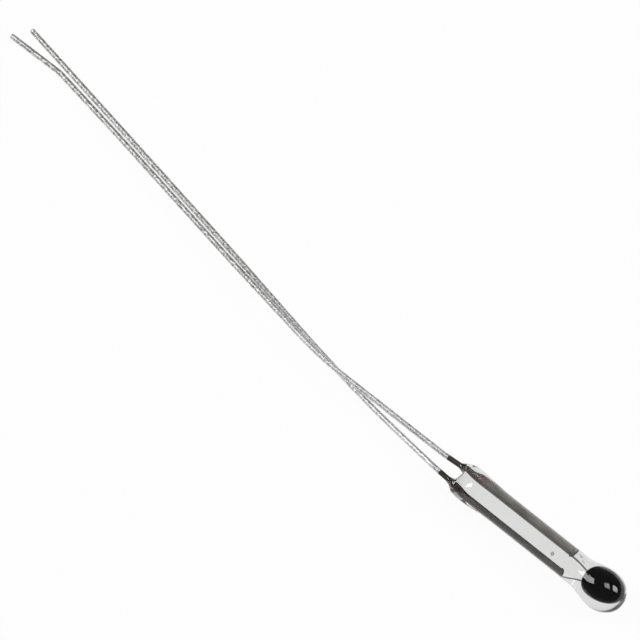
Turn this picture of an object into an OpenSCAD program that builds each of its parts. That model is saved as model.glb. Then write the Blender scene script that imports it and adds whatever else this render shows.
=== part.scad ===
// Bead thermistor in a glass probe: a black ceramic bead sealed in the tip of a clear glass rod,
// with two tinned leads. Millimetres. X runs along the rod towards the bead and Z is up. The origin
// is on the rod's axis, at the rear end of its straight barrel. The part lies on its bulb, on lead B
// from where it lands, and on the tip of lead A.

/* [Glass] */
// Length of the straight barrel
barrel_length = 5.9; // [4:0.1:9]
// Diameter of the straight barrel
rod_d = 1.88; // [1.76:0.02:2.1]
// Length of the swollen rear end, from the rear face to the barrel
collar_length = 3.3; // [2.6:0.1:4.5]
// Largest diameter of the swollen rear end
collar_d = 2.18; // [2.1:0.02:2.4]
// Length of the rounded shoulder, from the rear face to the widest place
shoulder_length = 1.2; // [0.8:0.05:1.6]
// Diameter of the rear face
rear_d = 1.3; // [1.1:0.02:1.5]
// Length of the flare from the barrel to the widest place of the bulb
flare_length = 1.9; // [1.7:0.05:2.8]
// Largest diameter of the bulb
bulb_d = 2.52; // [2.3:0.02:2.8]
// Length of the bulb's nose, from its widest place to the tip
nose_length = 1.45; // [1.3:0.05:2]
// Width of the saddle between the two leads
saddle_width = 0.66; // [0.4:0.02:0.7]
// Depth of the saddle in the rear face
saddle_depth = 0.6; // [0.4:0.02:0.7]
// How far the glass climbs along each lead
climb_length = 0.14; // [0.1:0.01:0.25]
// Radius of the glass around each lead where it starts to climb
climb_r = 0.22; // [0.2:0.01:0.28]
// Thickness of the glass film where it ends on the lead
film = 0.012; // [0.008:0.001:0.02]

/* [Bead] */
// Length of the bead along the rod
bead_length = 2.15; // [1.8:0.05:2.5]
// Diameter of the bead
bead_d = 1.26; // [1.1:0.02:1.4]
// How far the bead sits off the rod's axis, towards lead A
bead_shift = 0.15; // [0.05:0.01:0.2]
// How far the bead's middle sits behind the widest place of the bulb
bead_back = 0.15; // [0:0.05:0.4]
// Diameter of each fine wire
bead_wire_d = 0.06; // [0.04:0.005:0.09]
// Distance between the two fine wires where they enter the bead
bead_wire_pitch = 0.45; // [0.3:0.01:0.5]
// How far each fine wire runs into the bead
bead_wire_grip = 0.8; // [0.5:0.05:1.2]
// Straight stretch of each fine wire behind the bead
bead_wire_lead_in = 0.15; // [0.1:0.05:0.4]

/* [Leads] */
// Diameter of the bare wire, in the glass and up to the dip line
core_d = 0.32; // [0.26:0.01:0.34]
// Diameter of the tinned wire
tin_d = 0.34; // [0.33:0.01:0.4]
// Distance between the two leads in the glass
lead_pitch = 0.89; // [0.8:0.01:0.98]
// How far the leads lie below the rod's axis in the glass
lead_drop = 0.21; // [0.1:0.01:0.24]
// Distance between the two leads in the collar, where they straighten out to leave the glass
exit_pitch = 1.1; // [1.04:0.01:1.14]
// How far the leads lie below the rod's axis there
exit_drop = 0.04; // [0:0.01:0.1]
// Straight stretch of each lead in the rear end of the glass
seal_length = 0.2; // [0.15:0.05:0.4]
// Length over which each lead rises in the collar
rise_length = 0.8; // [0.7:0.05:1.2]
// Diameter of the weld at the inner end of each lead
weld_d = 0.38; // [0.36:0.01:0.45]
// Distance of lead A's weld behind the front end of the barrel
weld_back_a = 0.8; // [0.6:0.05:1.6]
// Distance of lead B's weld behind the front end of the barrel
weld_back_b = 0.6; // [0.4:0.05:1]
// Bare stretch of lead A behind the glass
bare_a = 1; // [0.6:0.05:1.6]
// Bare stretch of lead B behind the glass
bare_b = 0.75; // [0.6:0.05:1.6]
// Reach of lead A behind the glass, along the rod
reach_a = 39.2; // [36:0.1:45]
// Reach of lead B behind the glass, along the rod
reach_b = 38.6; // [36:0.1:45]
// Length of the straight round tip that a socket or a board hole takes
grip_length = 1.2; // [1:0.1:1.4]

/* [Bends] */
// Distance behind the glass at which lead A swings to the side
swing = 10.8; // [10:0.1:13]
// Distance behind the glass at which lead B, which crosses under lead A, lands on the surface
landing = 6.8; // [6:0.1:8.5]
// Angle at which both leads run off to the side
lay_angle = 9.8; // [7:0.1:13]
// Angle by which lead B closes in on lead A
closing_angle = 0.15; // [0.05:0.05:0.3]
// Length of lead A's last stretch, which turns back in line with the rod
kink_length = 3.9; // [3:0.1:5]
// How far lead A closes in behind the glass, up to its first bend
toe_in_a = 0.085; // [0.04:0.005:0.12]
// How far lead B closes in behind the glass, up to its first bend
toe_in_b = 0.06; // [0.02:0.005:0.1]
// How far lead A leans inwards from there to its swing
lean = 0.015; // [0:0.005:0.04]
// How far lead A sinks from there to its swing
sink = 0.06; // [0.02:0.01:0.1]
// Gap between the leads, seen from above, where lead A swings
pair_gap = 0.31; // [0.25:0.01:0.5]
// Straight stretch of lead A from its dip line to its first bend
set_a = 0.3; // [0.2:0.05:0.6]
// Straight stretch of lead B from its dip line to its first bend
set_b = 0.6; // [0.5:0.05:0.8]
// Bend radius in the collar
seal_bend_r = 1.5; // [1:0.1:2]
// Bend radius just behind the glass
exit_bend_r = 3; // [2:0.5:4]
// Bend radius where lead A swings and lead B lands
swing_bend_r = 24; // [15:1:30]
// Bend radius of lead A's last bend
kink_bend_r = 4; // [2:0.5:6]

/* [Hidden] */
$fn = 64;

// Steps in each curve of a turned profile, rings in each bend, and sides of a wire
profile_steps = 10;
bend_steps = 6;
lead_sides = 16;
fine_sides = 8;
// How far a round end is sunk into the tinned stretch, and how much wider that stretch's flats are
// than the round end
sunk = 0.05;
flat_ease = 1.01;

// Places along the rod
rear_x = -collar_length;
collar_x = rear_x + shoulder_length;
bulb_x = barrel_length + flare_length;
tip_x = bulb_x + nose_length;
weld_a_x = barrel_length - weld_back_a;
weld_b_x = barrel_length - weld_back_b;
bead_x = bulb_x - bead_back;
bead_rear_x = bead_x - bead_length / 2;
bead_wire_end_x = bead_rear_x + bead_wire_grip;
bead_wire_bend_x = bead_rear_x - bead_wire_lead_in;

// Where the leads lie in the glass and where they leave it, and the height at which they end on the
// surface that the bulb lies on
half_pitch = lead_pitch / 2;
exit_y = exit_pitch / 2;
leave_x = rear_x + seal_length;
rise_x = leave_x + rise_length;
tip_z = -bulb_d / 2 + flat_ease * tin_d / 2;

// Bend points of lead A, from its weld to its tip
a_weld = [weld_a_x, half_pitch, -lead_drop];
a_rise = [rise_x, half_pitch, -lead_drop];
a_leave = [leave_x, exit_y, -exit_drop];
a_exit = [rear_x - bare_a - set_a, exit_y - toe_in_a, -exit_drop];
a_dip = at_x(a_leave, a_exit, rear_x - bare_a);
a_swing = [rear_x - swing, a_exit[1] - lean, -exit_drop - sink];
a_kink_x = rear_x - reach_a + kink_length;
a_tip_y = a_swing[1] + tan(lay_angle) * (a_swing[0] - a_kink_x);
a_tip = [rear_x - reach_a, a_tip_y, tip_z];
a_fall = (tip_z - a_swing[2]) / (reach_a - swing);
a_kink = [a_kink_x, a_tip_y, a_swing[2] + a_fall * (a_swing[0] - a_kink_x)];

// Bend points of lead B. It comes down to the surface under lead A and then lies there, beside it.
b_weld = [weld_b_x, -half_pitch, -lead_drop];
b_rise = [rise_x, -half_pitch, -lead_drop];
b_leave = [leave_x, -exit_y, -exit_drop];
b_exit = [rear_x - bare_b - set_b, toe_in_b - exit_y, -exit_drop];
b_dip = at_x(b_leave, b_exit, rear_x - bare_b);
b_angle = lay_angle - closing_angle;
b_land_y = a_swing[1] + tin_d + pair_gap - tan(b_angle) * (swing - landing);
b_land = [rear_x - landing, b_land_y, tip_z];
b_tip = [rear_x - reach_b, b_land_y + tan(b_angle) * (reach_b - landing), tip_z];

// The bare stretch of each lead, from its weld to just behind its dip line
a_bare = [a_weld, a_rise, a_leave, at_x(a_leave, a_exit, a_dip[0] - sunk)];
b_bare = [b_weld, b_rise, b_leave, at_x(b_leave, b_exit, b_dip[0] - sunk)];

// Vector helpers
function unit(v) = v / norm(v);
function ease(t) = (1 - cos(180 * t)) / 2;
// The place on the line through p and q at x along the rod
function at_x(p, q, x) = p + (q - p) * (x - p[0]) / (q[0] - p[0]);

// A rounded bend at v on the way from a to b, as places along it with their headings
function bend(a, v, b, r) =
    let (
        d1 = unit(v - a),
        d2 = unit(b - v),
        turn = acos(d1 * d2),
        side = unit(d2 - (d1 * d2) * d1),
        start = v - r * tan(turn / 2) * d1
    )
    [for (i = [0:bend_steps])
        let (t = turn * i / bend_steps)
        [start + r * (sin(t) * d1 + (1 - cos(t)) * side), cos(t) * d1 + sin(t) * side]];

// The whole run of a wire through its bend points
function run(p, radii) =
    let (last = len(p) - 1)
    concat(
        [[p[0], unit(p[1] - p[0])]],
        [for (i = [1:last - 1]) each bend(p[i - 1], p[i], p[i + 1], radii[i - 1])],
        [[p[last], unit(p[last] - p[last - 1])]]
    );

// One ring of points around a place on the wire
function ring(stop, r, sides) =
    let (
        across = unit(cross([0, 0, 1], stop[1])),
        up = cross(stop[1], across)
    )
    [for (k = [0:sides - 1])
        let (a = 360 * (k + 0.5) / sides)
        stop[0] + r * (cos(a) * across + sin(a) * up)];

// A wire swept along its run. Its flats lie at radius r.
module wire(stops, r, sides) {
    corner_r = r / cos(180 / sides);
    rings = len(stops);
    points = [for (s = stops) each ring(s, corner_r, sides)];
    walls = [
        for (i = [0:rings - 2], k = [0:sides - 1])
            let (
                a = i * sides + k,
                b = i * sides + (k + 1) % sides
            )
            each [[a, a + sides, b], [b, a + sides, b + sides]]
    ];
    first = [for (k = [0:sides - 1]) k];
    end = [for (k = [sides - 1:-1:0]) (rings - 1) * sides + k];
    polyhedron(points, concat(walls, [first], [end]), convexity = 4);
}

// Lays what is turned about Z along the rod
module along_rod() {
    rotate([0, 90, 0]) children();
}

// Outline of the glass as radius and place along the rod: shoulder, collar, barrel, flare and nose
glass_outline = concat(
    [[0, rear_x]],
    [for (i = [0:profile_steps])
        let (a = 90 * i / profile_steps)
        [(rear_d + (collar_d - rear_d) * sin(a)) / 2, collar_x - shoulder_length * cos(a)]],
    [for (i = [1:profile_steps])
        let (t = i / profile_steps)
        [(collar_d + (rod_d - collar_d) * ease(t)) / 2, collar_x - collar_x * t]],
    [for (i = [0:profile_steps])
        let (t = i / profile_steps)
        [(rod_d + (bulb_d - rod_d) * ease(t)) / 2, barrel_length + flare_length * t]],
    [for (i = [1:profile_steps])
        let (a = 90 * i / profile_steps)
        [bulb_d / 2 * cos(a), bulb_x + nose_length * sin(a)]]
);

// Glass that has climbed along one lead, thinning out to a film
climb_outline = concat(
    [[0, -climb_length]],
    [for (i = [0:4])
        let (t = i / 4)
        [core_d / 2 + film + (climb_r - core_d / 2 - film) * t * t, climb_length * (2 * t - 1)]],
    [[0, climb_length]]
);

module climb(leave, exit) {
    inwards = unit(leave - exit);
    translate(at_x(leave, exit, rear_x)) rotate([0, acos(inwards[2]), atan2(inwards[1], inwards[0])])
        rotate_extrude() polygon(climb_outline);
}

// The hollow that runs down through the rear face between the two leads
module saddle() {
    translate([rear_x, 0, 0]) linear_extrude(height = 2 * collar_d, center = true)
        polygon([for (i = [0:4 * profile_steps - 1])
            let (a = 90 * i / profile_steps)
            [saddle_depth * cos(a), saddle_width / 2 * sin(a)]]);
}

module glass_body() {
    color([0.86, 0.93, 0.94, 0.4])
    difference() {
        union() {
            difference() {
                along_rod() rotate_extrude() polygon(glass_outline);
                saddle();
            }
            climb(a_leave, a_exit);
            climb(b_leave, b_exit);
        }
        bead_form();
        bare_wire(a_bare);
        bare_wire(b_bare);
        fine_wire(1, a_weld);
        fine_wire(-1, b_weld);
    }
}

// The bead's whole form, which the glass takes too
module bead_form() {
    translate([bead_x, bead_shift, 0]) along_rod() rotate_extrude()
        polygon([for (i = [0:2 * profile_steps])
            let (a = 90 * i / profile_steps)
            [bead_d / 2 * sin(a), -bead_length / 2 * cos(a)]]);
}

module bead() {
    color([0.05, 0.05, 0.06])
    difference() {
        bead_form();
        fine_wire(1, a_weld);
        fine_wire(-1, b_weld);
    }
}

// The bare wire of one lead in and behind the glass, with the weld on its inner end
module bare_wire(bare) {
    wire(run(bare, [seal_bend_r, seal_bend_r]), core_d / 2, lead_sides);
    translate(bare[0]) sphere(d = weld_d, $fn = 48);
}

// The round tip of a lead, sunk into the tinned stretch behind it
module tip(end, heading) {
    sideways = atan2(heading[1], heading[0]);
    down = acos(heading[2]);
    translate(end) rotate([0, down, sideways]) translate([0, 0, -grip_length - 4 * sunk])
        cylinder(d = tin_d, h = grip_length + 4 * sunk);
}

// One lead: bare wire, tinned stretch and round tip, hollowed where the fine wire is welded in
module lead(side, bare, bends, radii) {
    last = len(bends) - 1;
    heading = unit(bends[last] - bends[last - 1]);
    tinned = [for (i = [0:last]) i == last ? bends[i] - grip_length * heading : bends[i]];
    difference() {
        union() {
            bare_wire(bare);
            wire(run(tinned, radii), tin_d / 2 * flat_ease, lead_sides);
            tip(bends[last], heading);
        }
        fine_wire(side, bare[0]);
    }
}

module lead_a() {
    color([0.78, 0.78, 0.8])
    lead(1, a_bare, [a_dip, a_exit, a_swing, a_kink, a_tip], [exit_bend_r, swing_bend_r, kink_bend_r]);
}

module lead_b() {
    color([0.72, 0.72, 0.74])
    lead(-1, b_bare, [b_dip, b_exit, b_land, b_tip], [exit_bend_r, swing_bend_r]);
}

// One fine wire from the middle of its weld to its end in the bead
module fine_wire(side, weld) {
    entry_y = side * bead_wire_pitch / 2;
    places = [weld, [bead_wire_bend_x, entry_y, 0], [bead_wire_end_x, entry_y, 0]];
    wire(run(places, [2 * bead_wire_d]), bead_wire_d / 2, fine_sides);
}

module bead_wire_a() {
    color([0.62, 0.6, 0.58]) fine_wire(1, a_weld);
}

module bead_wire_b() {
    color([0.62, 0.6, 0.58]) fine_wire(-1, b_weld);
}

glass_body();
bead();
lead_a();
lead_b();
bead_wire_a();
bead_wire_b();
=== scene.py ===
# %% [markdown]
# A bead thermistor, dressed in Blender
#
# The part is a temperature sensor: a black ceramic bead sealed in the tip of a drawn glass rod, with two
# tinned leads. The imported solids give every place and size. This lesson replaces them one by one with
# smooth pieces that bend light as the real ones do, and then sets up a small photo studio around them.

import math

import bmesh
import bpy
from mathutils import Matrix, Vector


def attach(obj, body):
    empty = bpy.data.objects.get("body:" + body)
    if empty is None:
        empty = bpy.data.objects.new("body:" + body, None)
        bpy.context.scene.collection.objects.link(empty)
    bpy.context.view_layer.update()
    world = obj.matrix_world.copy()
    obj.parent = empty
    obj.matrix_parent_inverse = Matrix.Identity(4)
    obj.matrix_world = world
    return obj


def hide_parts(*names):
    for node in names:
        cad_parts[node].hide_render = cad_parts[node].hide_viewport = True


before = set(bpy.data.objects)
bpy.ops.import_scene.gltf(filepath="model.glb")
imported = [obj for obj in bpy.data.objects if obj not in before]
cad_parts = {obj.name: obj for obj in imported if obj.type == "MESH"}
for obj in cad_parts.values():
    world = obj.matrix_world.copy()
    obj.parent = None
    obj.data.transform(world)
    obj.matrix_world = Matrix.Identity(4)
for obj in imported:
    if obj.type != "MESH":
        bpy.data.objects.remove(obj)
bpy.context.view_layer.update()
print("nodes:", sorted(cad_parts))

# %% [markdown]
# The form of the glass
#
# Blender works in metres and the part is drawn in millimetres, so one factor turns each length over. The
# glass is nearly a turned form: a rod with a swelling at its rear, the collar, and a bulb at its front. It
# could be drawn as a list of points, but one function that gives the radius at each place along the rod is
# easier to change, and both the cage and the smooth skin take their sizes from it.

# %% Radius of the glass
MM = 0.001
BARREL_LENGTH = 5.9
ROD_D = 1.88
REAR_X = -3.3
COLLAR_X = -2.1
COLLAR_D = 2.18
REAR_D = 1.3
BULB_X = 7.8
BULB_D = 2.52
NOSE_LENGTH = 1.45
# A little over 1 lets the flare start more gently than it ends
FLARE_POWER = 1.1


def metres(*lengths):
    return tuple(MM * length for length in lengths)


def ease(t):
    return (1 - math.cos(math.pi * t)) / 2


def glass_radius(x):
    """Radius of the glass at a place along the rod, both in millimetres."""
    if x < COLLAR_X:
        share = min(1, (COLLAR_X - x) / (COLLAR_X - REAR_X))
        return (REAR_D + (COLLAR_D - REAR_D) * math.sqrt(1 - share * share)) / 2
    if x < 0:
        return (COLLAR_D + (ROD_D - COLLAR_D) * ease((x - COLLAR_X) / -COLLAR_X)) / 2
    if x < BARREL_LENGTH:
        return ROD_D / 2
    if x < BULB_X:
        share = ((x - BARREL_LENGTH) / (BULB_X - BARREL_LENGTH)) ** FLARE_POWER
        return (ROD_D + (BULB_D - ROD_D) * ease(share)) / 2
    share = min(1, (x - BULB_X) / NOSE_LENGTH)
    return BULB_D / 2 * math.sqrt(1 - share * share)


print("glass radius at collar and bulb:", round(glass_radius(COLLAR_X), 3), round(glass_radius(BULB_X), 3))

# %% [markdown]
# The camera
#
# The photograph looks down on the part from the bulb's side. Its angle, scale and aim were worked out from
# the rod's two ends and from the way the leads cross. A camera close by would make the rod's sides run
# together, so a long lens far away keeps them parallel, as they are there.

# %% Camera
CAMERA_AZIMUTH = math.radians(-48.1848)
CAMERA_ELEVATION = math.radians(62)
CAMERA_DISTANCE = 400
CAMERA_AIM = Vector(metres(-15.70242, 2.21417, 0))
FOCAL_PIXELS = 6901.8635
PICTURE_PIXELS = 640
SENSOR_WIDTH = 36
NEAREST_SEEN = 0.01
FURTHEST_SEEN = 20


def clear_selection():
    bpy.ops.object.select_all(action="DESELECT")


def direction(azimuth, elevation):
    flat = math.cos(elevation)
    return Vector((flat * math.cos(azimuth), flat * math.sin(azimuth), math.sin(elevation)))


to_camera = direction(CAMERA_AZIMUTH, CAMERA_ELEVATION)
clear_selection()
bpy.ops.object.camera_add(location=CAMERA_AIM + CAMERA_DISTANCE * MM * to_camera)
camera = bpy.context.object
camera.name = "photo_camera"
camera.rotation_mode = "QUATERNION"
camera.rotation_quaternion = (-to_camera).to_track_quat("-Z", "Y")
camera.data.sensor_width = SENSOR_WIDTH
camera.data.lens = FOCAL_PIXELS * SENSOR_WIDTH / PICTURE_PIXELS
camera.data.clip_start = NEAREST_SEEN
camera.data.clip_end = FURTHEST_SEEN
bpy.context.scene.camera = camera
bpy.context.scene.view_settings.view_transform = "Standard"
print("lens in mm:", round(camera.data.lens, 2))

# %% [markdown]
# Material helpers
#
# Each finish is a small node tree around Blender's Principled shader. It could be built by hand in the
# shader editor. In a script, a few helpers keep the trees short: one starts a material, one sets the sockets
# of a node, and one adds a node with its settings. A socket takes a constant or the output of another node.


# %% Start a material, add a node
def new_material(name):
    material = bpy.data.materials.new(name)
    material.use_nodes = True
    tree = material.node_tree
    return material, tree, tree.nodes["Principled BSDF"]


def feed(tree, socket, value):
    """Links a socket to another node's output, or gives it a constant."""
    if isinstance(value, bpy.types.NodeSocket):
        tree.links.new(value, socket)
    else:
        socket.default_value = value


def set_sockets(tree, node, **inputs):
    for key, value in inputs.items():
        feed(tree, node.inputs[key.replace("_", " ")], value)


def add_node(tree, kind, settings=None, **inputs):
    node = tree.nodes.new(kind)
    for key, value in (settings or {}).items():
        setattr(node, key, value)
    set_sockets(tree, node, **inputs)
    return node


print("materials that came with the frame:", len(bpy.data.materials))

# %% [markdown]
# Patterns
#
# No real surface is one flat colour. Three more helpers give all the finishes their pattern: noise that can
# be drawn out along the rod, a ramp that turns the noise into two colours, and a bump from the same noise,
# so that colour and relief agree. The noise reads Object coordinates, so it stays on the piece.

# %% Noise, colours and bump
EVEN = (1, 1, 1)


def stretched_noise(tree, stretch, per_metre, detail=2.0):
    """Noise in the piece's own space, drawn out along the rod by a small first number in stretch."""
    place = add_node(tree, "ShaderNodeTexCoord")
    mapping = add_node(tree, "ShaderNodeMapping", Vector=place.outputs["Object"], Scale=stretch)
    spots = mapping.outputs["Vector"]
    return add_node(tree, "ShaderNodeTexNoise", Vector=spots, Scale=per_metre, Detail=detail)


def two_colours(tree, noise, low, high, start=0.35, end=0.65):
    ramp = add_node(tree, "ShaderNodeValToRGB", Fac=noise.outputs["Fac"])
    first, last = ramp.color_ramp.elements
    first.position = start
    last.position = end
    first.color = (*low, 1)
    last.color = (*high, 1)
    return ramp.outputs["Color"]


def bump(tree, noise, strength, depth):
    """A relief from the noise, with its depth in millimetres."""
    height = noise.outputs["Fac"]
    relief = add_node(tree, "ShaderNodeBump", Strength=strength, Distance=MM * depth, Height=height)
    return relief.outputs["Normal"]


print("pattern coordinates: Object")

# %% [markdown]
# Glass
#
# The rod is clear, fire-polished glass with a faint grey cast. A see-through colour would not bend the
# picture of the wires, so the shader's own transmission and index of refraction do the work. A very weak
# bump, drawn out along the rod, stands for the fine striae that drawing leaves.

# %% Glass finish
STRIAE_STRETCH = (0.15, 1, 1)
STRIAE_PER_METRE = 2500
STRIAE_DEPTH = 0.02
GREYER_GLASS = (0.745, 0.755, 0.745)
CLEARER_GLASS = (0.775, 0.785, 0.775)

glass_finish, tree, shader = new_material("fire_polished_glass")
striae = stretched_noise(tree, STRIAE_STRETCH, STRIAE_PER_METRE)
tint = two_colours(tree, striae, GREYER_GLASS, CLEARER_GLASS)
ripple = bump(tree, striae, 0.02, STRIAE_DEPTH)
set_sockets(tree, shader, Base_Color=tint, Normal=ripple)
set_sockets(tree, shader, Roughness=0.0, IOR=1.5, Transmission_Weight=1.0)
print("made", glass_finish.name)

# %% [markdown]
# Dipped tin
#
# The leads are dipped in tin, which freezes with small lumps, so bright and dull spots alternate. The tin is
# brighter near the glass and duller towards the tips. Two materials would leave a line where they meet, so
# one material mixes two mottled colours by the place along the wire.

# %% Tin finish
TIN_SPOTS_PER_METRE = 6500
TIN_SPOT_DEPTH = 0.04
BRIGHT_TIN = ((0.66, 0.66, 0.67), (0.98, 0.98, 0.98))
DULL_TIN = ((0.315, 0.315, 0.31), (0.88, 0.88, 0.87))
# Where the tin starts to get duller, where it is dullest, and its share of dull tin before that
DULLER_X = -16
DULLEST_X = -21
LEAST_DULL = 0.35


def share_along(tree, axis, start, end, low=0, high=1):
    """Runs from low to high between two places on an axis of the piece, in millimetres."""
    place = add_node(tree, "ShaderNodeTexCoord")
    split = add_node(tree, "ShaderNodeSeparateXYZ", Vector=place.outputs["Object"])
    share = add_node(tree, "ShaderNodeMapRange", Value=split.outputs[axis])
    set_sockets(tree, share, From_Min=MM * start, From_Max=MM * end, To_Min=low, To_Max=high)
    return share.outputs["Result"]


def mix_colours(tree, share, first, second, blend_type="MIX"):
    """A Mix node has sockets for each kind of data: 0 is the share, 6 and 7 are the colours."""
    mix = add_node(tree, "ShaderNodeMix", {"data_type": "RGBA", "blend_type": blend_type})
    feed(tree, mix.inputs[0], share)
    feed(tree, mix.inputs[6], first)
    feed(tree, mix.inputs[7], second)
    return mix.outputs[2]


tin_finish, tree, shader = new_material("dipped_tin")
tin_spots = stretched_noise(tree, EVEN, TIN_SPOTS_PER_METRE, 3)
bright_tin = two_colours(tree, tin_spots, *BRIGHT_TIN)
dull_tin = two_colours(tree, tin_spots, *DULL_TIN)
dullness = share_along(tree, "X", DULLER_X, DULLEST_X, LEAST_DULL, 1)
tin_colour = mix_colours(tree, dullness, bright_tin, dull_tin)
set_sockets(tree, shader, Base_Color=tin_colour, Normal=bump(tree, tin_spots, 0.9, TIN_SPOT_DEPTH))
set_sockets(tree, shader, Metallic=1.0, Roughness=0.5)
print("made", tin_finish.name)

# %% [markdown]
# Flame-darkened wire, with painted light
#
# Next to the glass the wire is bare and has gone dark in the flame. In the glass, on lead A's side, it gets
# a
# paler colour, which is painted light: it stands in for lamp light that doesn't come through the glass.
# Again one material does both, so that no line shows: the share of the paler colour is a product of the
# place along the rod and the place across it.

# %% Bare wire, dark outside, with painted light on lead A's side inside
MARKS_STRETCH = (0.25, 1, 1)
MARKS_PER_METRE = 3500
MARKS_DEPTH = 0.02
MARKS_RAMP = (0.3, 0.75)
BARE_WIRE = ((0.026, 0.022, 0.017), (0.115, 0.098, 0.084))
# Painted light: the paler colour is a lit copy of the wire, for lead A's stretch inside the glass
PAINTED_LIT_WIRE = ((0.27, 0.255, 0.235), (0.42, 0.40, 0.365))
# The painted light comes in between these places along the rod, and from the middle to this place across
PAINTED_LIGHT_START_X = -3.2
PAINTED_LIGHT_END_X = -1.2
PAINTED_LIGHT_SIDE_Y = 0.2


def combine(tree, operation, first, second):
    node = add_node(tree, "ShaderNodeMath", {"operation": operation})
    feed(tree, node.inputs[0], first)
    feed(tree, node.inputs[1], second)
    return node.outputs[0]


bare_finish, tree, shader = new_material("flame_darkened_wire_and_painted_light")
marks = stretched_noise(tree, MARKS_STRETCH, MARKS_PER_METRE, 4)
bare = two_colours(tree, marks, *BARE_WIRE, *MARKS_RAMP)
# Painted light: the paler, lit copy of the wire's colour for lead A's stretch inside the glass
painted_lit_colour = two_colours(tree, marks, *PAINTED_LIT_WIRE, *MARKS_RAMP)
along = share_along(tree, "X", PAINTED_LIGHT_START_X, PAINTED_LIGHT_END_X)
across = share_along(tree, "Y", 0, PAINTED_LIGHT_SIDE_Y)
wire_colour = mix_colours(tree, combine(tree, "MULTIPLY", along, across), bare, painted_lit_colour)
set_sockets(tree, shader, Normal=bump(tree, marks, 0.3, MARKS_DEPTH), Metallic=0.6, Roughness=0.45)
print("made", bare_finish.name)

# %% [markdown]
# The stain on the wire
#
# Under the collar the wire has a reddish brown stain in blotches, left by the flame. It could be painted on,
# but a band along the wire times a patchy noise gives it without any picture. Where both are high, the
# wire's colour is multiplied by a warm tint.

# %% Stain
STAIN_START_X = -3.0
STAIN_END_X = -1.0
# Strength of the stain at places between its start and its end, where it is nothing
STAIN_BAND = [(0.15, 1), (0.65, 0.9)]
PATCHES_STRETCH = (0.6, 1, 1)
PATCHES_PER_METRE = 3000
PATCHES_RAMP = (0.4, 0.6)
PATCHES = ((0.25, 0.25, 0.25), (1, 1, 1))
STAIN_TINT = (1.3, 1.05, 1.12, 1)
NO_STAIN = (0, 0, 0, 1)

stain_place = share_along(tree, "X", STAIN_START_X, STAIN_END_X)
stain_band = add_node(tree, "ShaderNodeValToRGB", Fac=stain_place)
for position, strength in STAIN_BAND:
    stop = stain_band.color_ramp.elements.new(position)
    stop.color = (strength, strength, strength, 1)
stain_band.color_ramp.elements[0].color = NO_STAIN
stain_band.color_ramp.elements[-1].color = NO_STAIN
patches = stretched_noise(tree, PATCHES_STRETCH, PATCHES_PER_METRE)
patch_mask = two_colours(tree, patches, *PATCHES, *PATCHES_RAMP)
stain_share = combine(tree, "MULTIPLY", stain_band.outputs["Color"], patch_mask)
set_sockets(tree, shader, Base_Color=mix_colours(tree, stain_share, wire_colour, STAIN_TINT, "MULTIPLY"))
print("stain between x", STAIN_START_X, "and", STAIN_END_X, "mm")

# %% [markdown]
# Fine wire and bead ceramic
#
# The two fine wires are drawn platinum alloy, grey, with marks along them. The bead is sintered metal oxide,
# black all through. It touches the glass, so it has hardly any gloss of its own: the bright squares that one
# sees over it are reflections on the bulb. A black plastic look, with a strong shine, would be wrong here.

# %% Fine wire and bead finishes
DRAW_MARKS_STRETCH = (0.1, 1, 1)
DRAW_MARKS_PER_METRE = 9000
FINE_WIRE = ((0.30, 0.29, 0.28), (0.48, 0.46, 0.44))
GRAINS_PER_METRE = 9000
GRAIN_DEPTH = 0.01
BEAD_BLACK = ((0.001, 0.001, 0.001), (0.004, 0.004, 0.004))

fine_finish, tree, shader = new_material("fine_platinum_wire")
draw_marks = stretched_noise(tree, DRAW_MARKS_STRETCH, DRAW_MARKS_PER_METRE)
fine_colour = two_colours(tree, draw_marks, *FINE_WIRE)
set_sockets(tree, shader, Base_Color=fine_colour, Metallic=1.0, Roughness=0.35)

bead_finish, tree, shader = new_material("black_oxide_ceramic")
grain = stretched_noise(tree, EVEN, GRAINS_PER_METRE, 3)
bead_colour = two_colours(tree, grain, *BEAD_BLACK)
set_sockets(tree, shader, Base_Color=bead_colour, Normal=bump(tree, grain, 0.06, GRAIN_DEPTH))
set_sockets(tree, shader, Roughness=0.12, Specular_IOR_Level=0.03)
print("made", fine_finish.name, "and", bead_finish.name)

# %% [markdown]
# The glass rod, as a cage
#
# The rod was drawn in a flame, so it has no edge anywhere. A lathe form with many rings would do for most of
# it, but not for the rear end. A coarse cage under Subdivision Surface does for all: a ring of sixteen
# corners is extruded along the rod, ring by ring, and closed at the nose.

# %% Cage of the rod
CAGE_SIDES = 16
# A subdivided ring draws in a little from its corners, so the cage is that much wider
RING_GAIN = 1 / (2 / 3 + math.cos(2 * math.pi / CAGE_SIDES) / 3)
BASE_X = -2.80
REAR_RINGS = [BASE_X, -2.6, -2.36, COLLAR_X, -1.8, -1.55, -1.3, -0.9, -0.5, 0]
BARREL_RINGS = [0.6, 1.6, 2.6, 3.6, 4.6, 5.4, BARREL_LENGTH]
FLARE_RINGS = [6.1, 6.3, 6.6, 6.9, 7.2, 7.5]
BULB_RINGS = [BULB_X, 8.0, 8.25, 8.5, 8.75, 8.95, 9.1, 9.2]
RING_PLACES = REAR_RINGS + BARREL_RINGS + FLARE_RINGS + BULB_RINGS
QUARTER_TURN = math.pi / 2


def cage_radius(x):
    return RING_GAIN * glass_radius(x)


def apply_place():
    bpy.ops.object.transform_apply(location=True, rotation=True, scale=True)


def start_ring(name, sides, x, radius, fill_type):
    """A ring around the rod's axis, left in edit mode to be extruded."""
    clear_selection()
    bpy.ops.mesh.primitive_circle_add(
        vertices=sides,
        radius=MM * radius,
        fill_type=fill_type,
        location=metres(x, 0, 0),
        rotation=(0, QUARTER_TURN, 0),
    )
    piece = bpy.context.object
    piece.name = name
    apply_place()
    bpy.ops.object.mode_set(mode="EDIT")
    return piece


def extrude_along(run):
    bpy.ops.mesh.extrude_region_move(TRANSFORM_OT_translate={"value": metres(run, 0, 0)})


def resize_ring(x, growth):
    bpy.ops.transform.resize(value=(1, growth, growth), center_override=metres(x, 0, 0))


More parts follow.
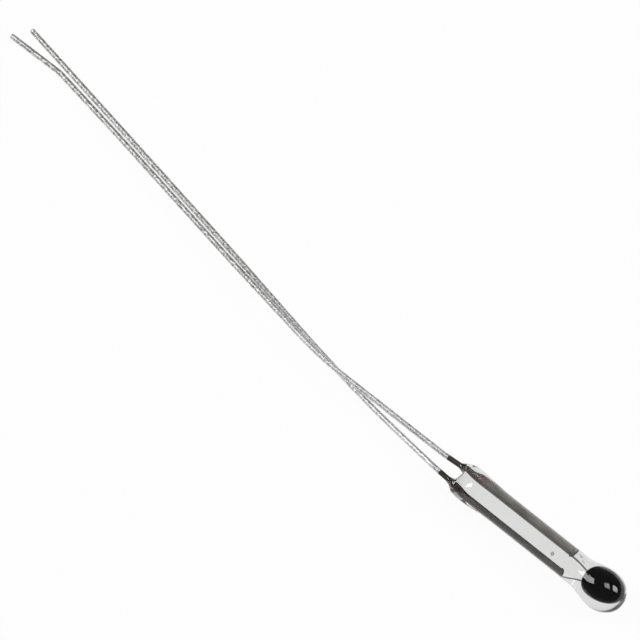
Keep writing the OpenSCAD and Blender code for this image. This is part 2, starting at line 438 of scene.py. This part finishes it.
glass = start_ring("glass_rod", CAGE_SIDES, BASE_X, cage_radius(BASE_X), "NOTHING")
for here, there in zip(RING_PLACES, RING_PLACES[1:]):
    extrude_along(there - here)
    resize_ring(there, cage_radius(there) / cage_radius(here))
extrude_along(BULB_X + NOSE_LENGTH - RING_PLACES[-1])
bpy.ops.mesh.merge(type="CENTER")
print("cage:", len(RING_PLACES), "rings")

# %% [markdown]
# The saddle between the leads
#
# Behind the collar the glass wets both wires and climbs a little way along them, and a saddle is left
# between. Two cones joined to the rod would leave a crease there. So the open ring of the cage is parted in
# two instead: an edge across the opening becomes the saddle, and each half gets a face to extrude.

# %% Saddle of the cage
SADDLE_CUTS = 3
# In metres: points closer than this are at the same place
NEAR = 1e-7


def pick(piece, test, kind="verts"):
    """Selects what passes the test in edit mode, and nothing else."""
    shape = bmesh.from_edit_mesh(piece.data)
    for element in (*shape.verts, *shape.edges, *shape.faces):
        element.select = False
    for element in getattr(shape, kind):
        if test(element):
            element.select_set(True)
    shape.select_flush_mode()
    bmesh.update_edit_mesh(piece.data)


def on_base(vertex):
    return abs(vertex.co.x - MM * BASE_X) < NEAR


bpy.ops.mesh.select_mode(type="VERT")
pick(glass, lambda v: on_base(v) and abs(v.co.y) < NEAR)
bpy.ops.mesh.edge_face_add()
bpy.ops.mesh.subdivide(number_cuts=SADDLE_CUTS)
for side in (1, -1):
    pick(glass, lambda v: on_base(v) and side * v.co.y > -NEAR)
    bpy.ops.mesh.edge_face_add()
print("edges across the saddle:", SADDLE_CUTS + 1)

# %% [markdown]
# Collars of glass on the leads
#
# Each half is extruded into a collar that closes on its wire, ring by ring. A plain scale would keep the
# half's D shape, so the corners of each ring are set one by one around the wire's middle: a rounded box near
# the rod, and round on the wire. The last ring lies inside the wire, so that no gap shows.

# %% Collars of the cage
EXIT_Y = 0.59
EXIT_Z = -0.04
LEAVE_X = -2.95
A_EXIT_X = -4.6
A_TOE_IN = 0.125
B_EXIT_X = -4.65
B_TOE_IN = 0.10
# Place of each ring, its outer width on lead A and B, its inner width on lead A and B, its half height, and
# its squareness: 1 is round, less is a rounded box
COLLAR_RINGS = [
    (-2.95, 0.42, 0.36, 0.38, 0.28, 0.44, 0.8),
    (-3.06, 0.37, 0.28, 0.31, 0.24, 0.35, 0.85),
    (-3.18, 0.31, 0.22, 0.24, 0.205, 0.27, 0.9),
    (-3.31, 0.23, 0.188, 0.195, 0.186, 0.20, 1),
    (-3.43, 0.183, 0.182, 0.182, 0.182, 0.183, 1),
    (-3.43, 0.10, 0.10, 0.10, 0.10, 0.10, 1),
]


def lead_y(side, x):
    """Where a lead's middle lies across the rod as it leaves the glass."""
    toe_in = A_TOE_IN if side > 0 else B_TOE_IN
    exit_x = A_EXIT_X if side > 0 else B_EXIT_X
    return EXIT_Y - toe_in * max(0, LEAVE_X - x) / (LEAVE_X - exit_x)


def shape_collar_ring(side, x, outer, inner, height, square):
    """Sets the selected corners around a lead's middle, and says how many they are."""
    shape = bmesh.from_edit_mesh(glass.data)
    loop = [v for v in shape.verts if v.select]
    y = lead_y(side, x)
    turns = {v: math.atan2(v.co.z - MM * EXIT_Z, side * v.co.y - MM * y) for v in loop}
    loop.sort(key=turns.get)
    start = min(range(len(loop)), key=lambda i: abs(turns[loop[i]]))
    for step, vertex in enumerate(loop[start:] + loop[:start]):
        turn = 2 * math.pi * step / len(loop)
        out = math.copysign(abs(math.cos(turn)) ** square, math.cos(turn))
        up = math.copysign(abs(math.sin(turn)) ** square, math.sin(turn))
        wide = y + (outer - inner) / 2 + (outer + inner) / 2 * out
        vertex.co = metres(x, side * wide, EXIT_Z + height * up)
    bmesh.update_edit_mesh(glass.data)
    return len(loop)


def on_half(face, side):
    return all(on_base(v) for v in face.verts) and side * face.calc_center_median().y > 0


bpy.ops.mesh.select_mode(type="FACE")
for side in (1, -1):
    pick(glass, lambda f: on_half(f, side), "faces")
    here = BASE_X
    for x, outer_a, outer_b, inner_a, inner_b, height, square in COLLAR_RINGS:
        outer, inner = (outer_a, inner_a) if side > 0 else (outer_b, inner_b)
        extrude_along(x - here)
        corners = shape_collar_ring(side, x, outer, inner, height, square)
        here = x
    print("collar on side", side, "has", corners, "corners a ring")

# %% [markdown]
# A rear end pressed flat
#
# The photograph shows the rear end pressed flat: a thin web lies between the leads, with a rounder lobe at
# lead A. A Lattice could press it too, but the cage has only a few rings here. So each ring loses some
# height, more on the web than on the lobe, and gains a little width, and the saddle's middle is drawn back.

# %% Press the first rings
# How far the first ring's middle runs forward between the leads, and how fast that ends towards them
SADDLE_RUN = 0.03
SADDLE_RUN_POWER = 1.5
# How far the saddle's middle stands behind its two ends
SADDLE_RISE = 0.18
# Where lead A's lobe starts, and how much further out it is full, as shares of the radius
LOBE_START = 0.3
LOBE_RUN = 0.5
# Place of each ring, what is left of its height on the lobe and on the web, and its growth in width
PRESSED_RINGS = [
    (BASE_X, 0.60, 0.53, 1.05),
    (-2.6, 0.76, 0.62, 1.04),
    (-2.36, 0.90, 0.735, 1.025),
    (COLLAR_X, 0.97, 0.858, 1.01),
    (-1.8, 1, 0.978, 1.005),
]


def press(vertex, place, lobe_height, web_height, width):
    radius = MM * cage_radius(place)
    if place == BASE_X:
        height = vertex.co.z / radius
        vertex.co.x += MM * SADDLE_RUN * max(0, 1 - abs(vertex.co.y) / radius) ** SADDLE_RUN_POWER
        if abs(vertex.co.y) < NEAR:
            vertex.co.x -= MM * SADDLE_RISE * max(0, 1 - height * height)
    lobe = min(1, max(0, (vertex.co.y / radius - LOBE_START) / LOBE_RUN))
    vertex.co.y *= width
    vertex.co.z *= lobe * lobe_height + (1 - lobe) * web_height


shape = bmesh.from_edit_mesh(glass.data)
for vertex in shape.verts:
    for place, *amounts in PRESSED_RINGS:
        if abs(vertex.co.x - MM * place) < NEAR:
            press(vertex, place, *amounts)
            break
bmesh.update_edit_mesh(glass.data)
bpy.ops.mesh.select_all(action="SELECT")
bpy.ops.mesh.normals_make_consistent(inside=False)
bpy.ops.object.mode_set(mode="OBJECT")
print("pressed rings:", len(PRESSED_RINGS))

# %% [markdown]
# Smooth glass
#
# Subdivision rounds the cage, but its skin only comes near to the radius that was asked for, and glass shows
# every ripple. In front of the collar the real rod is a true turned form, so each point there is then set to
# the exact radius. The rear end, which no lathe made, keeps its own soft shape.

# %% Subdivide and true up
SMOOTH_LEVELS = 3
# Between these two places the exact radius takes over
BLEND_START = -1.7
BLEND_END = -1.3
# Points closer to the axis than this share of the radius aren't moved
SKIN_SHARE = 0.88

smooth = glass.modifiers.new("smooth", "SUBSURF")
smooth.levels = SMOOTH_LEVELS
smooth.render_levels = SMOOTH_LEVELS
bpy.ops.object.modifier_apply(modifier=smooth.name)
for vertex in glass.data.vertices:
    x = vertex.co.x / MM
    r = math.hypot(vertex.co.y, vertex.co.z)
    radius = MM * glass_radius(x)
    if x > BLEND_START and r > SKIN_SHARE * radius > 0:
        share = ease(min(1, (x - BLEND_START) / (BLEND_END - BLEND_START)))
        growth = 1 + share * (radius / r - 1)
        vertex.co.y *= growth
        vertex.co.z *= growth
glass.data.materials.append(glass_finish)
bpy.ops.object.shade_smooth()
print("glass:", len(glass.data.polygons), "faces")

# %% [markdown]
# Bubbles in the glass
#
# The photograph shows a round bubble in the rod, and small drawn-out ones in front of lead A's weld. A
# bubble is a hollow, so its skin is a sphere whose faces point into the hollow, and it belongs to the same
# mesh as the glass around it. A white ball in the glass would look like a bead and not like air.

# %% Bubbles
# Place, radius and stretch along the rod of each bubble
BUBBLES = [
    (4.34, -0.254, 0.276, 0.105, 1),
    (5.62, 0.47, -0.1, 0.03, 5),
    (6.0, 0.36, 0.0, 0.025, 6),
]
BUBBLE_TURN = -0.15


def activate(piece):
    clear_selection()
    piece.select_set(True)
    bpy.context.view_layer.objects.active = piece


for x, y, z, r, stretch in BUBBLES:
    clear_selection()
    bpy.ops.mesh.primitive_uv_sphere_add(
        segments=24, ring_count=12, radius=MM * r, location=metres(x, y, z)
    )
    bubble = bpy.context.object
    bubble.scale.x = stretch
    bubble.rotation_euler.z = BUBBLE_TURN
    apply_place()
    bpy.ops.object.mode_set(mode="EDIT")
    bpy.ops.mesh.select_all(action="SELECT")
    bpy.ops.mesh.flip_normals()
    bpy.ops.object.mode_set(mode="OBJECT")
    bubble.data.materials.append(glass_finish)
    bpy.ops.object.shade_smooth()
    activate(glass)
    bubble.select_set(True)
    bpy.ops.object.join()
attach(glass, "root")
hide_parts("glass_body")
print("bubbles:", len(BUBBLES))

# %% [markdown]
# The bead
#
# The bead is a drop of oxide paste that was fired on its two fine wires, so it is plump but no perfect ball.
# A sphere is stretched to the bead's length, and its rear rings are widened one by one, because the end that
# holds the wires is blunter. Then it is set in the bulb and turned a little, as it is in the photograph.

# %% Bead
BEAD_LENGTH = 2.15
BEAD_D = 1.26
BEAD_X = 7.65
BEAD_Y = 0.15
BEAD_TURN = math.radians(6)
BEAD_RINGS = 32
# How much wider than a stretched sphere the bead is at its rear end
REAR_FULLNESS = 0.14

clear_selection()
bpy.ops.mesh.primitive_uv_sphere_add(segments=48, ring_count=BEAD_RINGS, radius=MM)
bead = bpy.context.object
bead.name = "oxide_bead"
bead.scale = (BEAD_D / 2, BEAD_D / 2, BEAD_LENGTH / 2)
apply_place()
bpy.ops.object.mode_set(mode="EDIT")
bpy.ops.mesh.select_mode(type="VERT")
for ring in range(BEAD_RINGS // 2 + 1, BEAD_RINGS):
    share = math.cos(math.pi * ring / BEAD_RINGS)
    place = MM * share * BEAD_LENGTH / 2
    growth = 1 + REAR_FULLNESS * share * share
    pick(bead, lambda v: abs(v.co.z - place) < NEAR)
    bpy.ops.transform.resize(value=(growth, growth, 1), center_override=(0, 0, place))
bpy.ops.object.mode_set(mode="OBJECT")
bead.location = metres(BEAD_X, BEAD_Y, 0)
bead.rotation_euler = (0, QUARTER_TURN, BEAD_TURN)
apply_place()
bead.data.materials.append(bead_finish)
bpy.ops.object.shade_smooth()
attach(bead, "root")
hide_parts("bead")
print("bead:", [round(1000 * s, 3) for s in bead.dimensions])

# %% [markdown]
# Routes of the wires
#
# A real lead starts as a straight wire and is bent afterwards, so the pieces are made the same way: a
# straight wire first, then a Curve modifier that bends it along its route. A Bezier curve by hand would be
# hard to measure. Here a route is a list of corners with a bend radius each, and every corner is rounded
# into an arc before it becomes a curve.

# %% Rounded routes
ARC_STEPS = 16


def rounded_route(corners, radii):
    points = [Vector(corners[0])]
    for i, radius in enumerate(radii, 1):
        before, corner, after = (Vector(corners[k]) for k in (i - 1, i, i + 1))
        d1 = (corner - before).normalized()
        d2 = (after - corner).normalized()
        turn = d1.angle(d2)
        side = (d2 - d1.dot(d2) * d1).normalized()
        first = corner - radius * math.tan(turn / 2) * d1
        for k in range(ARC_STEPS + 1):
            t = turn * k / ARC_STEPS
            points.append(first + radius * (math.sin(t) * d1 + (1 - math.cos(t)) * side))
    points.append(Vector(corners[-1]))
    return points


def route_length(points):
    return sum((b - a).length for a, b in zip(points, points[1:]))


def route_curve(name, points):
    curve = bpy.data.curves.new(name, "CURVE")
    curve.dimensions = "3D"
    spline = curve.splines.new("POLY")
    spline.points.add(len(points) - 1)
    for place, point in zip(spline.points, points):
        place.co = (*(MM * point), 1)
    path = bpy.data.objects.new(name, curve)
    bpy.context.scene.collection.objects.link(path)
    return path


print("points in each arc:", ARC_STEPS + 1)

# %% [markdown]
# The two leads' routes
#
# Both leads rise from their welds through the glass, leave it toed in, and swing to one side. Lead B comes
# down on the surface and lies there. Lead A stays above it where they cross, and comes down only at its
# kinked tip. Wide arcs give the long runs the slight bows that the photograph shows.

# %% Routes of the leads
LEAD_Y = 0.445
LEAD_Z = -0.21
RISE_X = -2.1
WELD_A_X = 5.1
WELD_B_X = 5.3
WELD_R = 0.19
FLOOR_Z = -BULB_D / 2
# Height of a lying wire's middle over the floor
LYING_HEIGHT = 0.1717
TIP_Z = FLOOR_Z + LYING_HEIGHT
A_SWING = (-14.1, 0.45, -0.1)
A_BOWS = [(-22.5, 1.856, -0.392), (-33, 3.739, -0.758)]
A_KINK = (-38.6, 4.68188, -0.95258)
A_TIP = (-42.5, 4.68188, TIP_Z)
B_LANDING = (-10.1, 0.385, TIP_Z)
B_BOWS = [(-15, 1.138, TIP_Z), (-22.5, 2.493, TIP_Z)]
B_TIP = (-41.9, 5.772, TIP_Z)
SEAL_BEND = 1.5
EXIT_BEND = 3
SWING_BEND = 24
BOW_BEND = 150
KINK_BEND = 4
FIRST_BENDS = [SEAL_BEND, SEAL_BEND, EXIT_BEND, SWING_BEND, BOW_BEND, BOW_BEND]


def route_in_glass(side, weld_x, exit_x, toe_in):
    return [
        (weld_x + WELD_R, side * LEAD_Y, LEAD_Z),
        (RISE_X, side * LEAD_Y, LEAD_Z),
        (LEAVE_X, side * EXIT_Y, EXIT_Z),
        (exit_x, side * (EXIT_Y - toe_in), EXIT_Z),
    ]


a_in_glass = route_in_glass(1, WELD_A_X, A_EXIT_X, A_TOE_IN)
b_in_glass = route_in_glass(-1, WELD_B_X, B_EXIT_X, B_TOE_IN)
lead_a_route = rounded_route([*a_in_glass, A_SWING, *A_BOWS, A_KINK, A_TIP], [*FIRST_BENDS, KINK_BEND])
lead_b_route = rounded_route([*b_in_glass, B_LANDING, *B_BOWS, B_TIP], FIRST_BENDS)
print("lead lengths in mm:", round(route_length(lead_a_route), 2), round(route_length(lead_b_route), 2))

# %% [markdown]
# A straight wire
#
# The wire is turned like the rod: a small ring is extruded along X with a new size at each stop. A curve
# with a round bevel would be quicker, but it has one thickness all along. The tinned stretch is later cut
# into short rings, so that it has enough points to carry its lumps and to bend.

# %% Straight wire, rings and bend
WIRE_SIDES = 20
# In millimetres: lengths closer than this are the same
SAME = 1e-4


def turned_wire(name, stops, sides=WIRE_SIDES):
    """A closed wire along X from stops of place and radius in millimetres."""
    wire = start_ring(name, sides, *stops[0], "NGON")
    for (here, r1), (there, r2) in zip(stops, stops[1:]):
        extrude_along(there - here)
        resize_ring(there, r2 / r1)
    bpy.ops.mesh.select_all(action="SELECT")
    bpy.ops.mesh.normals_make_consistent(inside=False)
    bpy.ops.object.mode_set(mode="OBJECT")
    return wire


def cut_rings(wire, start, end, cuts):
    """Cuts the lengthwise edges between two places into short pieces, which gives rings."""

    def runs_between(edge):
        a, b = (v.co.x / MM for v in edge.verts)
        return abs(a - b) > SAME and min(a, b) > start - SAME and max(a, b) < end + SAME

    bpy.ops.object.mode_set(mode="EDIT")
    bpy.ops.mesh.select_mode(type="EDGE")
    pick(wire, runs_between, "edges")
    bpy.ops.mesh.subdivide(number_cuts=cuts)
    bpy.ops.object.mode_set(mode="OBJECT")


def bend_along(wire, route):
    path = route_curve(wire.name + "_path", route)
    bend = wire.modifiers.new("bend", "CURVE")
    bend.object = path
    bend.deform_axis = "POS_X"
    activate(wire)
    bpy.ops.object.modifier_apply(modifier=bend.name)
    curve = path.data
    bpy.data.objects.remove(path)
    bpy.data.curves.remove(curve)


print("sides of a lead:", WIRE_SIDES)

# %% [markdown]
# Weld, dip line and tip
#
# A lead is one wire with four stretches. The weld at its inner end is a melted ball, the bare wire runs from
# there to the dip line, the tin starts with a soft step, and the tip is cut or rounded. They could be four
# pieces, but the real lead is one, so one list of stops runs through them all.

# %% Stops of a lead
CORE_R = 0.16
TIN_R = 0.165
WELD_STEPS = 8
WELD_STEP_TURN = 16
NECK_STOPS = [(0.36, CORE_R * 1.02), (0.5, CORE_R)]
NECK_END = NECK_STOPS[-1][0]
# Distance past the dip line, and radius
DIP_STOPS = [(-0.02, CORE_R), (0, TIN_R * 0.99), (0.04, TIN_R), (0.2, TIN_R)]
DIP_START = DIP_STOPS[0][0]
DIP_END = DIP_STOPS[-1][0]
# Distance from the end, and share of the tinned radius
CUT_TIP = [(0.3, 1), (0.03, 1), (0.005, 0.9), (0, 0.7)]
ROUND_TIP = [(0.3, 1), (0.12, 0.98), (0.04, 0.75), (0.01, 0.4), (0, 0.1)]
TIP_RUN = CUT_TIP[0][0]


def weld_stops():
    """The melted ball, as places and radii that run into the wire behind it."""
    turns = [math.radians(WELD_STEP_TURN * k) for k in range(1, WELD_STEPS + 1)]
    return [(WELD_R * (1 - math.cos(turn)), WELD_R * math.sin(turn)) for turn in turns] + NECK_STOPS


def lead_stops(length, dip, tip):
    stops = weld_stops()
    stops += [(dip + past, radius) for past, radius in DIP_STOPS]
    stops += [(length - back, TIN_R * share) for back, share in tip]
    return stops


print("stops of the weld:", len(weld_stops()))

# %% [markdown]
# Tin lumps
#
# Dipped tin freezes in small lumps, and a bump alone would leave the wire's outline straight. So a Displace
# modifier with a fine clouds texture raises them on the straight wire, only on the tinned stretch, which a
# vertex group marks. Then the wire gets its two finishes and is bent to its route.

# %% Both leads
LUMP_HEIGHT = 0.010
LUMP_SIZE = 0.16
LUMPS_START = 0.1
RING_STEP = 0.07
BARE_CUTS = 80
A_DIP_X = -4.3
B_DIP_X = -4.05

lump_texture = bpy.data.textures.new("tin_lumps", "CLOUDS")
lump_texture.noise_scale = MM * LUMP_SIZE
lump_texture.noise_depth = 1


def raise_lumps(lead, start):
    group = lead.vertex_groups.new(name="tinned")
    group.add([v.index for v in lead.data.vertices if v.co.x / MM > start], 1.0, "REPLACE")
    raised = lead.modifiers.new("lumps", "DISPLACE")
    raised.texture = lump_texture
    raised.texture_coords = "LOCAL"
    raised.vertex_group = group.name
    raised.strength = MM * LUMP_HEIGHT
    raised.mid_level = 0.5
    activate(lead)
    bpy.ops.object.modifier_apply(modifier=raised.name)


def make_lead(name, route, dip_x, tip):
    length = route_length(route)
    dip = route[0].x - dip_x
    tin_start = dip + DIP_END
    tin_end = length - TIP_RUN
    lead = turned_wire(name, lead_stops(length, dip, tip))
    cut_rings(lead, NECK_END, dip + DIP_START, BARE_CUTS)
    # Cutting twice gives the square of one cut's number of rings
    cuts = round(math.sqrt((tin_end - tin_start) / RING_STEP)) - 1
    cut_rings(lead, tin_start, tin_end, cuts)
    cut_rings(lead, tin_start, tin_end, cuts)
    raise_lumps(lead, dip + LUMPS_START)
    lead.data.materials.append(tin_finish)
    lead.data.materials.append(bare_finish)
    for face in lead.data.polygons:
        face.material_index = 1 if face.center.x / MM < dip + DIP_START / 2 else 0
    bend_along(lead, route)
    bpy.ops.object.shade_smooth()
    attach(lead, "root")
    return lead


lead_a = make_lead("long_lead", lead_a_route, A_DIP_X, CUT_TIP)
lead_b = make_lead("short_lead", lead_b_route, B_DIP_X, ROUND_TIP)
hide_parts("lead_a")
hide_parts("lead_b")
for lead in (lead_a, lead_b):
    print(lead.name, "faces:", len(lead.data.polygons))

# %% [markdown]
# Fine wires
#
# Two hair-thin wires carry the bead and are welded to the leads. Each starts on its weld, bends once, and
# runs on into the bead. They are made as the leads are, from a straight ring that is extruded and then bent,
# only without tin, so the same functions serve again.

# %% Both fine wires
FINE_R = 0.03
FINE_SIDES = 12
FINE_CUTS = 60
FINE_BEND = 0.3
FINE_END = 0.02
FINE_END_R = FINE_R * 0.9
INTO_BEAD = 0.5
BEAD_REAR_X = BEAD_X - BEAD_LENGTH / 2


def make_fine_wire(name, start, middle):
    end = (BEAD_REAR_X + INTO_BEAD, 0.5 * middle[1], 0)
    route = rounded_route([start, middle, end], [FINE_BEND])
    length = route_length(route)
    stops = [(0, FINE_END_R), (FINE_END, FINE_R), (length - FINE_END, FINE_R), (length, FINE_END_R)]
    wire = turned_wire(name, stops, FINE_SIDES)
    cut_rings(wire, FINE_END, length - FINE_END, FINE_CUTS)
    wire.data.materials.append(fine_finish)
    bend_along(wire, route)
    bpy.ops.object.shade_smooth()
    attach(wire, "root")
    return wire


fine_a = make_fine_wire("fine_wire_to_long_lead", (5.0, 0.34, -0.29), (5.8, 0.30, -0.2))
fine_b = make_fine_wire("fine_wire_to_short_lead", (5.3, -0.56, -0.34), (6.3, -0.33, -0.1))
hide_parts("bead_wire_a")
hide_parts("bead_wire_b")
print("fine wires:", fine_a.name, fine_b.name)

# %% [markdown]
# The floor
#
# The part lies on white paper. More light would make the paper white, but it would also bleach the part. So
# the Light Path node tells the rays apart: for the camera, and for what shows in the glass or on the metal,
# the paper is nearly pure white with a faint shadow. For all other rays it is plain paper under the lamps.

# %% Floor
FLOOR_SIZE = 6
FIBRES_PER_METRE = 400
PAPER = ((0.80, 0.80, 0.80), (0.83, 0.83, 0.83))
WHITE_SHARE = 0.95

clear_selection()
bpy.ops.mesh.primitive_plane_add(size=FLOOR_SIZE, location=metres(0, 0, FLOOR_Z))
floor = bpy.context.object
floor.name = "paper_floor"
apply_place()
paper, tree, shader = new_material("white_paper")
tree.nodes.remove(shader)
fibres = stretched_noise(tree, EVEN, FIBRES_PER_METRE)
matt = add_node(tree, "ShaderNodeBsdfDiffuse", Color=two_colours(tree, fibres, *PAPER))
white = add_node(tree, "ShaderNodeEmission", Color=(1, 1, 1, 1), Strength=1.0)
ray = add_node(tree, "ShaderNodeLightPath")
seen = combine(tree, "MAXIMUM", ray.outputs["Is Camera Ray"], ray.outputs["Is Transmission Ray"])
seen = combine(tree, "MAXIMUM", seen, ray.outputs["Is Glossy Ray"])
mixed = add_node(tree, "ShaderNodeMixShader", Fac=combine(tree, "MULTIPLY", seen, WHITE_SHARE))
feed(tree, mixed.inputs[1], matt.outputs[0])
feed(tree, mixed.inputs[2], white.outputs[0])
set_sockets(tree, tree.nodes["Material Output"], Surface=mixed.outputs[0])
floor.data.materials.append(paper)
print("floor at", FLOOR_Z, "mm")

# %% [markdown]
# Lamps
#
# Three soft boxes light the part, one nearly overhead and one from each side, placed where the small square
# highlights on the bulb in the photograph say they were. A single lamp would leave the leads dark on one
# side. Only the overhead box shows through the glass.

# %% Lamps
LAMP_DISTANCE = 0.5
# Name, azimuth and elevation in degrees, size in metres, and radiance
LAMPS = [
    ("top_box", 37, 75, 0.20, 5.5),
    ("right_box", 37, 37, 0.22, 8.0),
    ("left_box", -160, 41, 0.21, 7.2),
]

lamp_aim = Vector(metres(BULB_X, 0, 0))
for name, azimuth, elevation, size, radiance in LAMPS:
    towards = direction(math.radians(azimuth), math.radians(elevation))
    clear_selection()
    bpy.ops.object.light_add(type="AREA", location=lamp_aim + LAMP_DISTANCE * towards)
    lamp = bpy.context.object
    lamp.name = name
    lamp.rotation_mode = "QUATERNION"
    lamp.rotation_quaternion = (-towards).to_track_quat("-Z", "Y")
    lamp.data.shape = "SQUARE"
    lamp.data.size = size
    lamp.data.energy = radiance * math.pi * size * size
    lamp.visible_camera = False
    lamp.visible_transmission = name == "top_box"
print("lamps:", [lamp[0] for lamp in LAMPS])

# %% [markdown]
# The room
#
# The room around the lamps is dim, so that the bead stays black. It is a little brighter for rays that come
# through the glass, and white for the camera, which sees it only in low views. A picture of a real studio
# could light the part as well, but it would have to come from a file.

# %% World
ROOM_LEVEL = 0.12
THROUGH_GLASS_LEVEL = 0.4

world = bpy.data.worlds.new("studio")
bpy.context.scene.world = world
world.use_nodes = True
tree = world.node_tree
ray = add_node(tree, "ShaderNodeLightPath")
through = add_node(tree, "ShaderNodeMapRange", Value=ray.outputs["Is Transmission Ray"])
set_sockets(tree, through, To_Min=ROOM_LEVEL, To_Max=THROUGH_GLASS_LEVEL)
level = combine(tree, "MAXIMUM", ray.outputs["Is Camera Ray"], through.outputs["Result"])
set_sockets(tree, tree.nodes["Background"], Color=(1, 1, 1, 1), Strength=level)
print("room level:", ROOM_LEVEL)
